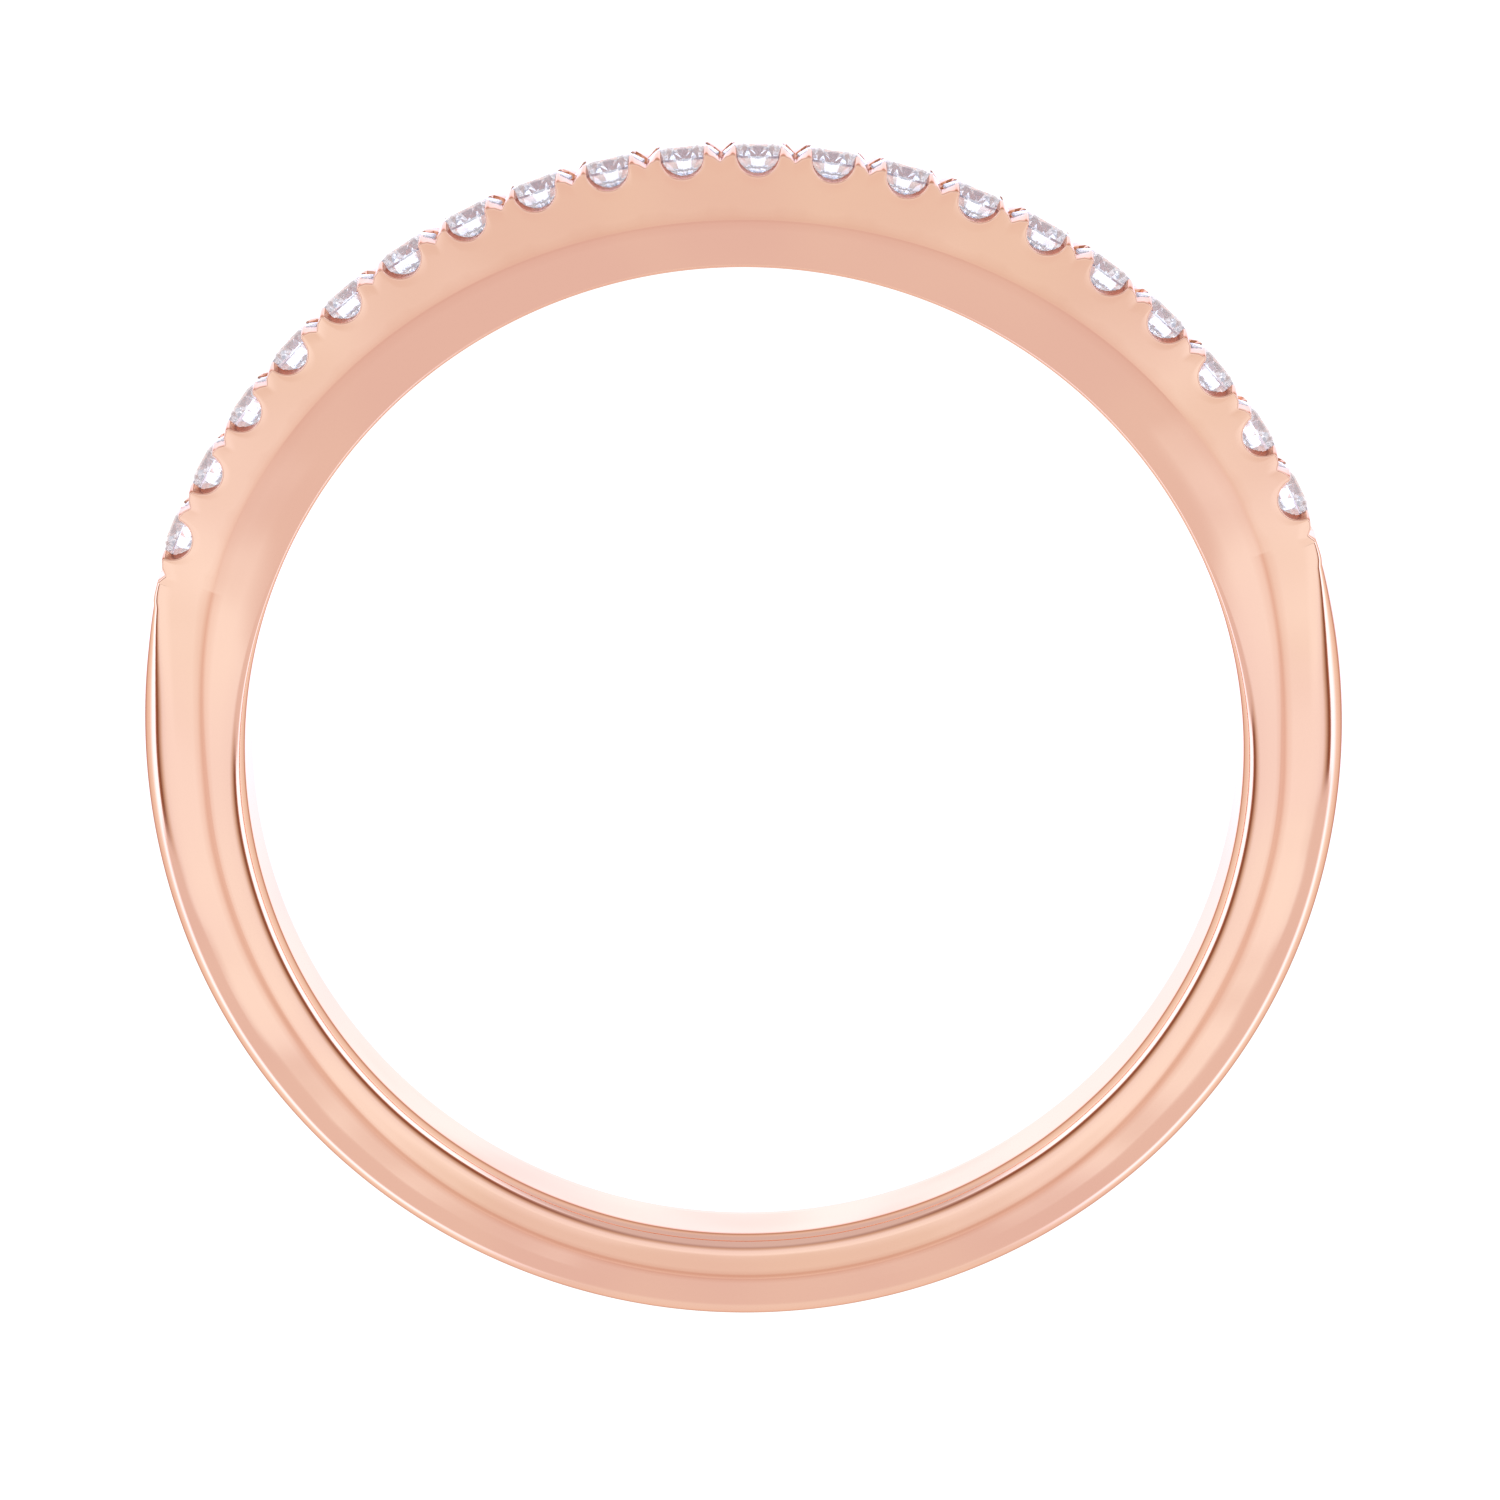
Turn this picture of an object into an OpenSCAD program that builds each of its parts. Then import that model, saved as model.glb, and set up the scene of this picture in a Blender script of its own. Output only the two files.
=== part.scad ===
// Wedding band: one cast band with a single row of round brilliants across its top half.
// Each stone sits on a cone cut in the band, over a drilled light hole, and is held by four
// claws that are left between two scallops and split by a V notch.
// The origin is the centre of the finger bore. The bore runs along Y and the row is at the top, +Z.

/* [Finger bore] */
// Inside diameter of the band
bore_d = 16.5; // [14:0.1:22]
// Rounding of the two edges of the bore
bore_edge_r = 0.06; // [0.04:0.01:0.1]

/* [Band] */
// Width over the side walls
band_w = 1.88; // [1.56:0.02:2.6]
// Thickness at the bottom of the shank
base_t = 1.46; // [1.1:0.01:1.8]
// Thickness at the two sides of the shank
side_t = 1.66; // [1.3:0.01:1.9]
// Thickness at the shoulders, beside the last notches
shoulder_t = 1.86; // [1.8:0.01:2.2]
// Thickness at the head, from the bore to the claw tips
head_t = 1.9; // [1.85:0.01:2.3]
// Height above the bore of the crease where the side walls start to lean inward
crease_h = 0.77; // [0.5:0.01:0.9]
// Distance that each side wall leans inward between its crease and the bore
lean_w = 0.14; // [0.08:0.01:0.2]
// Rounding of the outer edges of the shank
shank_edge_r = 0.42; // [0.2:0.01:0.6]
// Radius of the domed outside of the shank, across the band
shank_dome_r = 2.5; // [1.8:0.1:6]
// Rounding of the outer edges of the head
head_edge_r = 0.1; // [0.06:0.01:0.2]
// Radius of the slightly domed top of the head, across the band
head_dome_r = 6; // [3:0.5:12]
// Angle around the bore over which each shoulder runs down to the shank
shoulder_span = 36; // [25:1:45]

/* [Stones] */
// Number of stones in the row
stone_count = 20; // [8:1:24]
// Girdle diameter of a stone
stone_d = 1.15; // [0.95:0.01:1.4]
// Space between the girdles of two neighbours
stone_gap = 0.05; // [0.04:0.01:0.12]
// Height of the tables above the claw tips
table_stand = 0.03; // [0:0.01:0.08]
// Height of the girdle band
girdle_h = 0.035; // [0.02:0.005:0.06]
// Width of the table as a share of the girdle diameter
table_share = 0.57; // [0.5:0.01:0.65]
// Slope of the main crown facets
crown_angle = 34.5; // [30:0.5:38]
// Slope of the main pavilion facets
pavilion_angle = 40.75; // [39:0.25:43]
// How far the star facets reach from the table towards the girdle
star_share = 0.5; // [0.4:0.05:0.6]
// How far the lower girdle facets reach from the girdle towards the point
lower_share = 0.77; // [0.7:0.01:0.85]

/* [Setting] */
// Clearance between a stone and its seat
seat_gap = 0.01; // [0.005:0.005:0.03]
// Bearing left under a stone between its girdle and the seat bore
bearing_w = 0.125; // [0.08:0.005:0.2]
// Depth of the seat bore below the stone's point
seat_clear = 0.08; // [0.04:0.01:0.2]
// Diameter of the light hole that opens into the finger bore
light_hole_d = 0.5; // [0.3:0.05:0.6]
// Length of the cone between the seat bore and the light hole
funnel_h = 0.2; // [0.1:0.05:0.4]
// Depth of the scallops below the claw tips
scallop_depth = 0.42; // [0.3:0.01:0.55]
// Width at the claw tips of the post between two scallops
post_w = 0.54; // [0.4:0.01:0.7]
// Width of a claw at its tip
claw_w = 0.09; // [0.06:0.01:0.14]
// Depth of the V notches below the claw tips
notch_depth = 0.18; // [0.1:0.01:0.22]

/* [Hidden] */
bore_r = bore_d / 2;
half_w = band_w / 2;
head_r = bore_r + head_t;

// The shank's outside is a circle whose centre is raised, so the wall thins towards the bottom
base_r = bore_r + base_t;
side_r = bore_r + side_t;
shank_r = (side_r * side_r / base_r + base_r) / 2;
shank_rise = shank_r - base_r;

// Heights above the bore's axis of a stone's parts, at the middle of the row
crown_h = stone_d * (1 - table_share) / 2 * tan(crown_angle);
pavilion_h = stone_d / 2 * tan(pavilion_angle);
table_r = head_r + table_stand;
girdle_top_r = table_r - crown_h;
girdle_base_r = girdle_top_r - girdle_h;
culet_r = girdle_base_r - pavilion_h;

// Angle between two neighbours, from their girdles' distance
pitch = 2 * asin((stone_d + stone_gap) / 2 / girdle_base_r);
row_half = stone_count * pitch / 2;
scallop_r = head_r * sin(pitch / 2) - post_w / 2;
notch_half_w = post_w / 2 - claw_w;

facet_turn = 22.5; // half the angle between two main facets
main_facets = 8;
star_r = stone_d / 2 * (table_share * cos(facet_turn) * (1 - star_share) + star_share);
star_h = (stone_d / 2 - star_r * cos(facet_turn)) * tan(crown_angle);
lower_r = stone_d / 2 * (1 - lower_share);
lower_h = (stone_d / 2 - lower_r * cos(facet_turn)) * tan(pavilion_angle);

cut_over = 1;       // length by which a cutter passes the surface that it opens
arc_steps = 6;      // straight steps in a rounded edge
dome_steps = 2;     // straight steps in half a dome, beside the level one in the middle
shoulder_step = 0.01; // height at which a shoulder ends above the shank
shoulder_root = 1.5;  // angle by which a shoulder reaches in under the head
head_lap = 0.4;       // angle by which the head runs on past the bottom of its last notches
ring_fn = 240;
cut_fn = 48;

function stone_name(i) = str("stone_", i < 10 ? "0" : "", i);
function stone_angle(i) = (i - (stone_count + 1) / 2) * pitch;
function at(angle, radius) = [radius * sin(angle), radius * cos(angle)];

// Turns a profile's axis into the axis of the bore
module along_bore() {
    rotate([90, 0, 0]) children();
}

// Places a piece that stands on +Z at an angle from the top of the ring, positive towards +X
module around_ring(angle) {
    rotate([0, angle, 0]) children();
}

// Half of a domed rim's outline, as radius and width: the rounded edge, then the dome in straight
// steps, of which the middle one lies level across the centre of the band
function rim_half(rim_r, edge_r, dome_r) =
    let (
        reach = half_w - edge_r,
        turn = asin(reach / (dome_r - edge_r)),
        edge_mid_r = rim_r - dome_r + (dome_r - edge_r) * cos(turn)
    )
    concat(
        [for (i = [0:arc_steps])
            let (a = (90 - turn) * i / arc_steps)
            [edge_mid_r + edge_r * sin(a), reach + edge_r * cos(a)]],
        [for (i = [1:dome_steps])
            let (a = turn * (1 - 2 * i / (2 * dome_steps + 1)))
            [rim_r - dome_r + dome_r * cos(a), dome_r * sin(a)]]
    );

function rim_profile(rim_r, edge_r, dome_r) =
    let (half = rim_half(rim_r, edge_r, dome_r), root_r = rim_r - head_t - cut_over)
    concat(
        [[root_r, half_w]],
        half,
        [for (i = [len(half) - 1:-1:0]) [half[i][0], -half[i][1]]],
        [[root_r, -half_w]]
    );

// Wheel of the shank's section between two angles from the top of the ring
module shank_wheel(rim_r, from = 0, to = 360) {
    along_bore()
        rotate([0, 0, 90 - to])
            rotate_extrude(angle = to - from, $fn = ring_fn)
                polygon(rim_profile(rim_r, shank_edge_r, shank_dome_r));
}

// Shoulder on the +X side: an arc from beside the last notch that ends level with the shank
module shoulder() {
    meet_angle = row_half + shoulder_span;
    out = at(meet_angle, 1);
    start = at(row_half, bore_r + shoulder_t);
    meet = (shank_r + shoulder_step) * out + [0, shank_rise];
    chord = start - meet;
    arc_r = -(chord * chord) / (2 * (chord * out));
    centre = meet - arc_r * out;
    first = atan2(start[0] - centre[0], start[1] - centre[1]);
    translate([centre[0], 0, centre[1]])
        shank_wheel(arc_r, first - shoulder_root, meet_angle);
}

// Head: the part of the band that carries the stones, to just past the last notch on each side
module head_blank() {
    along_bore()
        rotate([0, 0, 90 - row_half - head_lap])
            rotate_extrude(angle = 2 * (row_half + head_lap), $fn = ring_fn)
                polygon(rim_profile(head_r, head_edge_r, head_dome_r));
}

// Everything inside the band: the bore, its rounded edges and the two leaning faces
module finger_space() {
    lean = atan2(lean_w, crease_h);
    edge_turn = 90 - lean;
    face_y = half_w - lean_w;
    edge_mid = [bore_r + bore_edge_r, face_y - bore_edge_r * tan(edge_turn / 2)];
    edge = [for (i = [0:arc_steps])
        let (a = edge_turn * i / arc_steps)
        [edge_mid[0] - bore_edge_r * cos(a), edge_mid[1] + bore_edge_r * sin(a)]];
    mouth = [bore_r + crease_h * (1 + cut_over), half_w + lean_w * cut_over];
    side = concat(edge, [mouth]);
    along_bore()
        rotate_extrude($fn = ring_fn)
            polygon(concat(
                [[0, mouth[1]]],
                [for (i = [len(side) - 1:-1:0]) side[i]],
                [for (p = side) [p[0], -p[1]]],
                [[0, -mouth[1]]]
            ));
}

// Space for one stone: light hole, funnel, seat bore, bearing cone, girdle and crown
module seat_space() {
    girdle = stone_d / 2 + seat_gap;
    bore = stone_d / 2 - bearing_w;
    bearing_h = bearing_w * (lower_h / (stone_d / 2 - lower_r));
    crown_run = (stone_d / 2 - star_r) / star_h;
    top_h = star_h + cut_over;
    pocket_r = culet_r - seat_clear;
    rotate_extrude($fn = cut_fn)
        polygon([
            [0, bore_r - cut_over],
            [light_hole_d / 2, bore_r - cut_over],
            [light_hole_d / 2, pocket_r - funnel_h],
            [bore, pocket_r],
            [bore, girdle_base_r - bearing_h - seat_gap],
            [girdle, girdle_base_r - seat_gap],
            [girdle, girdle_top_r + seat_gap],
            [girdle - crown_run * star_h, girdle_top_r + star_h + seat_gap],
            [girdle - crown_run * star_h, girdle_top_r + top_h],
            [0, girdle_top_r + top_h]
        ]);
}

// Scallop under a stone: a round cut across the whole band
module scallop() {
    translate([0, 0, head_r - scallop_depth + scallop_r])
        along_bore()
            cylinder(r = scallop_r, h = band_w + 2 * cut_over, center = true, $fn = cut_fn);
}

// Notch between two stones: a V cut across the whole band
module notch() {
    rise = (notch_depth + cut_over) / notch_depth;
    along_bore()
        linear_extrude(height = band_w + 2 * cut_over, center = true)
            polygon([
                [0, head_r - notch_depth],
                [notch_half_w * rise, head_r + cut_over],
                [-notch_half_w * rise, head_r + cut_over]
            ]);
}

module band() {
    color([0.93, 0.72, 0.61])
        difference() {
            union() {
                translate([0, 0, shank_rise]) shank_wheel(shank_r);
                head_blank();
                shoulder();
                mirror([1, 0, 0]) shoulder();
            }
            finger_space();
            for (i = [1:stone_count])
                around_ring(stone_angle(i)) {
                    seat_space();
                    scallop();
                }
            for (i = [0:stone_count])
                around_ring(stone_angle(i + 0.5)) notch();
        }
}

// One ring of a stone's corners
function corners(count, first, radius, height) =
    [for (k = [0:count - 1])
        let (a = first + k * 360 / count)
        [radius * cos(a), radius * sin(a), height]];

// Round brilliant with its girdle's lower edge at girdle_base_r on +Z, table outward
module brilliant() {
    all_girdle = 2 * main_facets;
    points = concat(
        corners(main_facets, 0, stone_d / 2 * table_share, girdle_top_r + crown_h),
        corners(main_facets, facet_turn, star_r, girdle_top_r + star_h),
        corners(all_girdle, 0, stone_d / 2, girdle_top_r),
        corners(all_girdle, 0, stone_d / 2, girdle_base_r),
        corners(main_facets, facet_turn, lower_r, girdle_base_r - lower_h),
        [[0, 0, culet_r]]
    );
    star = main_facets;
    upper = 2 * main_facets;
    under = upper + all_girdle;
    lower = under + all_girdle;
    culet = lower + main_facets;
    mains = [0:main_facets - 1];
    function next(k) = (k + 1) % main_facets;
    function before(k) = (k + main_facets - 1) % main_facets;
    function rim(k) = k % all_girdle;
    faces = concat(
        [[for (k = [main_facets - 1:-1:0]) k]],
        [for (k = mains) [k, next(k), star + k]],
        [for (k = mains) [k, star + k, upper + 2 * k, star + before(k)]],
        [for (k = mains) [star + k, upper + 2 * k + 1, upper + 2 * k]],
        [for (k = mains) [star + k, upper + rim(2 * k + 2), upper + 2 * k + 1]],
        [for (k = [0:all_girdle - 1])
            [upper + k, upper + rim(k + 1), under + rim(k + 1), under + k]],
        [for (k = mains) [lower + k, under + 2 * k, under + 2 * k + 1]],
        [for (k = mains) [lower + k, under + 2 * k + 1, under + rim(2 * k + 2)]],
        [for (k = mains) [culet, lower + before(k), under + 2 * k, lower + k]]
    );
    polyhedron(points, faces);
}

module stone(i) {
    color([0.88, 0.90, 0.96])
        around_ring(stone_angle(i)) brilliant();
}

band();
for (i = [1:stone_count])
    stone(i);
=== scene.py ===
"""A slim rose gold wedding band with twenty small brilliants in cut-down claws, in a plain pale studio."""

import logging
import math
from dataclasses import dataclass, field
from enum import Enum
from typing import Any, Optional, Union

import bpy
import numpy as np
from mathutils import Matrix, Vector

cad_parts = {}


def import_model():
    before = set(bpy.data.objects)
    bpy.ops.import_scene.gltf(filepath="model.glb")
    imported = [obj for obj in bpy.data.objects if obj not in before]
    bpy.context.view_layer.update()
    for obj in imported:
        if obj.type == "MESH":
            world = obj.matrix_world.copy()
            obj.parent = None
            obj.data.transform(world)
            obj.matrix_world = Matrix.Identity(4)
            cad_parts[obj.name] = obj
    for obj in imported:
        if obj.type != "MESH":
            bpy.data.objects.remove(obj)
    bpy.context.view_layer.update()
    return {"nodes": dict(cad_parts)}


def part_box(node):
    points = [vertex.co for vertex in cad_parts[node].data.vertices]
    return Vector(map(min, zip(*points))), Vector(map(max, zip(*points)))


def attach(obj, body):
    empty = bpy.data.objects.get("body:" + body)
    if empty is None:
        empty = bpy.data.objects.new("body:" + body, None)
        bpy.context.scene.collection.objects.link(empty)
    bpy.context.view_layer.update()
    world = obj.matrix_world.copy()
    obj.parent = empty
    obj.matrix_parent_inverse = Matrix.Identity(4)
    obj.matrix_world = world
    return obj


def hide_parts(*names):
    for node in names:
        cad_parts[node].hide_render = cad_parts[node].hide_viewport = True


logging.basicConfig(level=logging.INFO, format="%(message)s")
log = logging.getLogger("wedding_band")

MM = 0.001
"""Metres in a millimetre. Sizes are kept in millimetres and meshes are written in metres."""

TINY = 1e-6
"""Keeps a division away from zero."""

WHITE = (1.0, 1.0, 1.0, 1.0)

Array = np.ndarray

Numbers = Union[Array, float]

Value = Union["Val", float]

Span = tuple[float, float]
"""Where something starts and where it ends."""

Colour = tuple[float, ...]
"""Red, green and blue, with alpha where a socket takes it."""

OTHER_FACE = np.array([1.0, -1.0, 1.0])
"""Mirrors a point to the band's other face."""

OTHER_SIDE = np.array([-1.0, 1.0, 1.0])
"""Mirrors a point to the ring's other side."""


# ---------------------------------------------------------------- shader maths


class Val:
    """A shader socket that can be used in a Python expression. Each operator adds one Math node."""

    def __init__(self, nodes: "Nodes", socket: Any) -> None:
        """Keeps the node tree's builder and the output socket that holds the value."""
        self.nodes, self.socket = nodes, socket

    def _math(self, operation: str, *values: Value) -> "Val":
        """A Math node on these values."""
        return self.nodes.add("ShaderNodeMath", {"operation": operation}, list(values))

    def __add__(self, other: Value) -> "Val":
        """Sum."""
        return self._math("ADD", self, other)

    def __sub__(self, other: Value) -> "Val":
        """Difference."""
        return self._math("SUBTRACT", self, other)

    def __rsub__(self, other: float) -> "Val":
        """Difference, with the number first."""
        return self._math("SUBTRACT", other, self)

    def __mul__(self, other: Value) -> "Val":
        """Product."""
        return self._math("MULTIPLY", self, other)

    def __truediv__(self, other: Value) -> "Val":
        """Quotient."""
        return self._math("DIVIDE", self, other)

    __radd__ = __add__
    __rmul__ = __mul__

    def arc_cosine(self) -> "Val":
        """Angle, in radians, whose cosine this is."""
        return self._math("ARCCOSINE", self)

    def arc_sine(self) -> "Val":
        """Angle, in radians, whose sine this is."""
        return self._math("ARCSINE", self)

    def step(self, low: float, high: float) -> "Val":
        """A smooth rise from 0 at low to 1 at high."""
        return self.nodes.add(
            "ShaderNodeMapRange",
            {"interpolation_type": "SMOOTHSTEP"},
            {"Value": self, "From Min": low, "From Max": high},
        )

    def hump(self, low: float, high: float, soft: float) -> "Val":
        """1 between low and high, falling smoothly to 0 over a width of soft on both sides."""
        return self.step(low - soft, low) * (1 - self.step(high, high + soft))


class Nodes:
    """Builds one node tree."""

    def __init__(self, tree: bpy.types.NodeTree) -> None:
        """Takes the node tree of a material or of the world, and empties it."""
        self.tree = tree
        tree.nodes.clear()

    def add(
        self,
        kind: str,
        settings: Optional[dict[str, Any]] = None,
        inputs: Union[dict[str, Any], list[Any], None] = None,
        output: Union[str, int] = 0,
    ) -> Val:
        """Adds a node, sets it, and then sets or links its sockets.

        Args:
            kind: The node's type.
            settings: The node's own settings; "stops" fills a colour ramp with (place, colour) pairs.
            inputs: Values or links for its sockets, by name or in order.
            output: The socket that is returned.

        Returns:
            The chosen output socket.
        """
        node = self.tree.nodes.new(kind)
        for name, value in (settings or {}).items():
            if name == "stops":
                self._fill_ramp(node, value)
            else:
                setattr(node, name, value)
        pairs = inputs.items() if isinstance(inputs, dict) else enumerate(inputs or [])
        for name, value in pairs:
            if isinstance(value, Val):
                self.tree.links.new(value.socket, node.inputs[name])
            else:
                node.inputs[name].default_value = value
        return Val(self, node.outputs[output] if node.outputs else None)

    @staticmethod
    def _fill_ramp(node: bpy.types.Node, stops: list[tuple[float, Colour]]) -> None:
        """Gives a colour ramp its stops.

        Args:
            node: The ramp's node.
            stops: Pairs of a place, from 0 to 1, and a colour.
        """
        elements = node.color_ramp.elements
        while len(elements) < len(stops):
            elements.new(1.0)
        for element, (place, colour) in zip(elements, stops):
            element.position, element.color = place, colour

    def blend(self, share: Value, low: Any, high: Any) -> Val:
        """A colour between two others.

        Args:
            share: 0 for low, 1 for high.
            low: The first colour.
            high: The second colour.

        Returns:
            The mixed colour.
        """
        node = self.tree.nodes.new("ShaderNodeMix")
        node.data_type = "RGBA"
        sockets = [s for s in node.inputs if s.enabled]
        for socket, value in zip(sockets, (share, low, high)):
            if isinstance(value, Val):
                self.tree.links.new(value.socket, socket)
            else:
                socket.default_value = value
        return Val(self, next(s for s in node.outputs if s.enabled))


def new_material(name: str) -> tuple[bpy.types.Material, Nodes]:
    """A material with an empty node tree.

    Args:
        name: The material's name.

    Returns:
        The material and its tree's builder.
    """
    material = bpy.data.materials.new(name)
    material.use_nodes = True
    return material, Nodes(material.node_tree)


# ---------------------------------------------------------------- finishes


@dataclass(frozen=True)
class PolishedGold:
    """Mirror-polished rose gold, with the faint waves and hairlines that a polishing wheel leaves.

    Sizes and heights are in millimetres. The hollow values paint shade into recesses, creases and claws: a
    deeper copper colour that stands in for the shade there and for the walls showing each other many times
    over, and a rougher, less sharp polish.
    """

    colour: Colour = (0.955, 0.655, 0.495, 1.0)
    rosy: Colour = (0.93, 0.62, 0.48, 1.0)
    edge_tint: Colour = (0.92, 0.72, 0.64, 1.0)
    # painted shade: the deep copper that recesses, creases and claws take
    painted_shade_colour: Colour = (0.60, 0.18, 0.07, 1.0)
    roughness: float = 0.07
    hollow_roughness: float = 0.16
    roughness_swing: float = 0.03
    wave_size: float = 2.6
    wave_height: float = 0.05
    rosy_waves: Span = (0.38, 0.68)
    hairline_size: float = 0.05
    hairline_stretch: float = 0.08
    hairline_height: float = 0.002
    hairline_strength: float = 0.02

    def material(self) -> bpy.types.Material:
        """Makes the material. Its patterns read Object coordinates, and hollow, the painted shade, is the
        mesh's own.

        Returns:
            The finished material.
        """
        material, nodes = new_material("rose_gold")
        place = nodes.add("ShaderNodeTexCoord", output="Object")
        waves = nodes.add(
            "ShaderNodeTexNoise",
            inputs={"Vector": place, "Scale": 1 / (self.wave_size * MM), "Detail": 1.0, "Roughness": 0.4},
        )
        stretched = nodes.add(
            "ShaderNodeMapping", {}, {"Vector": place, "Scale": (1.0, self.hairline_stretch, 1.0)}
        )
        hairlines = nodes.add(
            "ShaderNodeTexNoise",
            inputs={"Vector": stretched, "Scale": 1 / (self.hairline_size * MM), "Detail": 3.0},
        )
        # painted shade: the mesh's hollow attribute turns the gold to a deep copper and adds roughness
        hollow = nodes.add("ShaderNodeAttribute", {"attribute_name": "hollow"}, output="Fac")
        tone = nodes.blend(waves.step(*self.rosy_waves), self.colour, self.rosy)
        tone = nodes.blend(hollow, tone, self.painted_shade_colour)
        swing = self.roughness_swing
        rough = self.roughness + swing * (hairlines - 0.5) + swing * (waves - 0.5)
        rough = rough + hollow * self.hollow_roughness
        swell = nodes.add(
            "ShaderNodeBump", {}, {"Strength": 1.0, "Distance": self.wave_height * MM, "Height": waves}
        )
        bump = nodes.add(
            "ShaderNodeBump",
            {},
            {
                "Strength": self.hairline_strength,
                "Distance": self.hairline_height * MM,
                "Height": hairlines,
                "Normal": swell,
            },
        )
        shader = nodes.add(
            "ShaderNodeBsdfPrincipled",
            {},
            {
                "Base Color": tone,
                "Metallic": 1.0,
                "Roughness": rough,
                "Specular Tint": self.edge_tint,
                "Normal": bump,
            },
        )
        nodes.add("ShaderNodeOutputMaterial", {}, {"Surface": shader})
        return material


@dataclass(frozen=True)
class Brilliant:
    """Clear stone with a high refractive index, a faint inner clouding and a weak painted inner glow.

    The painted glow, light the stone gives off though it is no lamp, is strongest at the table and weaker
    along the waist. Both are found by their distance from the bore's axis, in millimetres. waist_fade is in
    square millimetres.
    """

    colour: Colour = (1.0, 0.99, 0.97, 1.0)
    cloud: Colour = (0.90, 0.90, 0.93, 1.0)
    index: float = 2.417
    cloud_size: float = 0.3
    cloudy_from: Span = (0.4, 0.7)
    painted_inner_glow: Colour = (0.035, 0.038, 0.055, 1.0)
    table_r: Span = (10.13, 10.175)
    waist_r: Span = (9.82, 9.96)
    waist_fade: float = 0.6
    painted_table_glow: float = 0.36
    painted_waist_glow: float = 0.03
    clearness: float = 0.94
    surface_shine: float = 0.6
    surface_index: float = 2.2
    roughness: float = 0.02

    def material(self) -> bpy.types.Material:
        """Makes the material. Its clouding and its painted glow read Object coordinates.

        Returns:
            The finished material.
        """
        material, nodes = new_material("diamond")
        place = nodes.add("ShaderNodeTexCoord", output="Object")
        clouds = nodes.add(
            "ShaderNodeTexNoise",
            inputs={"Vector": place, "Scale": 1 / (self.cloud_size * MM), "Detail": 2.0},
        )
        split = nodes.add("ShaderNodeSeparateXYZ", {}, [place])
        x, z = split, Val(nodes, split.socket.node.outputs["Z"])
        # the distance from the bore's axis, squared, in square millimetres
        square = (x * x + z * z) * (1 / MM**2)
        table = square.step(self.table_r[0] ** 2, self.table_r[1] ** 2)
        waist = square.hump(self.waist_r[0] ** 2, self.waist_r[1] ** 2, self.waist_fade)
        # painted light: the stone glows through Emission, brightest at the table and faintly along the
        # waist
        bright = table * self.painted_table_glow + waist * self.painted_waist_glow
        shader = nodes.add(
            "ShaderNodeBsdfPrincipled",
            {},
            {
                "Base Color": nodes.blend(clouds.step(*self.cloudy_from), self.colour, self.cloud),
                "Metallic": 0.0,
                "Roughness": self.roughness,
                "IOR": self.index,
                "Transmission Weight": self.clearness,
                "Emission Color": nodes.blend(bright, self.painted_inner_glow, WHITE),
                "Emission Strength": 1.0,
                "Coat Weight": self.surface_shine,
                "Coat IOR": self.surface_index,
                "Coat Roughness": self.roughness,
            },
        )
        nodes.add("ShaderNodeOutputMaterial", {}, {"Surface": shader})
        return material


# ---------------------------------------------------------------- small surface tools


def smooth_rise(value: Array, low: float, high: float) -> Array:
    """The smooth step 3t² − 2t³, where t runs from 0 at low to 1 at high.

    Args:
        value: The numbers to read.
        low: Where the rise starts.
        high: Where it ends.

    Returns:
        Numbers from 0 to 1.
    """
    share = np.clip((value - low) / (high - low), 0.0, 1.0)
    return share * share * (3.0 - 2.0 * share)


def turned(u: Array, h: Array, angle: Array) -> tuple[Array, Array]:
    """Turns the plane point (u, h) by an angle from the h axis towards the u axis.

    Args:
        u: Across.
        h: Up.
        angle: Radians.

    Returns:
        The turned point: u cos a + h sin a, and h cos a − u sin a.
    """
    return u * np.cos(angle) + h * np.sin(angle), h * np.cos(angle) - u * np.sin(angle)


def add_piece(
    name: str, points: Array, faces: Array, sharp_over: float, hollow: Array
) -> bpy.types.Object:
    """Puts points and four-cornered faces into a new mesh object, and drops the points that no face uses.

    Args:
        name: The object's name.
        points: N × 3, in metres.
        faces: M × 4 point numbers, anticlockwise from outside.
        sharp_over: Edges that turn by more than this, in radians, stay sharp.
        hollow: How much painted shade each point takes, from 0 to 1. It becomes the attribute "hollow".

    Returns:
        The new object.
    """
    used = np.unique(faces)
    order = np.zeros(len(points), np.int64)
    order[used] = np.arange(len(used))
    points, faces = points[used], order[faces]
    mesh = bpy.data.meshes.new(name)
    mesh.vertices.add(len(points))
    mesh.vertices.foreach_set("co", points.astype(np.float32).ravel())
    mesh.loops.add(faces.size)
    mesh.loops.foreach_set("vertex_index", faces.astype(np.int32).ravel())
    mesh.polygons.add(len(faces))
    mesh.polygons.foreach_set("loop_start", np.arange(0, faces.size, 4, dtype=np.int32))
    mesh.update(calc_edges=True)
    layer = mesh.attributes.new("hollow", "FLOAT", "POINT")
    layer.data.foreach_set("value", hollow[used].astype(np.float32))
    mesh.polygons.foreach_set("use_smooth", np.ones(len(mesh.polygons), bool))
    mesh.set_sharp_from_angle(angle=sharp_over)
    piece = bpy.data.objects.new(name, mesh)
    bpy.context.scene.collection.objects.link(piece)
    return piece


# ---------------------------------------------------------------- the band


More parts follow.
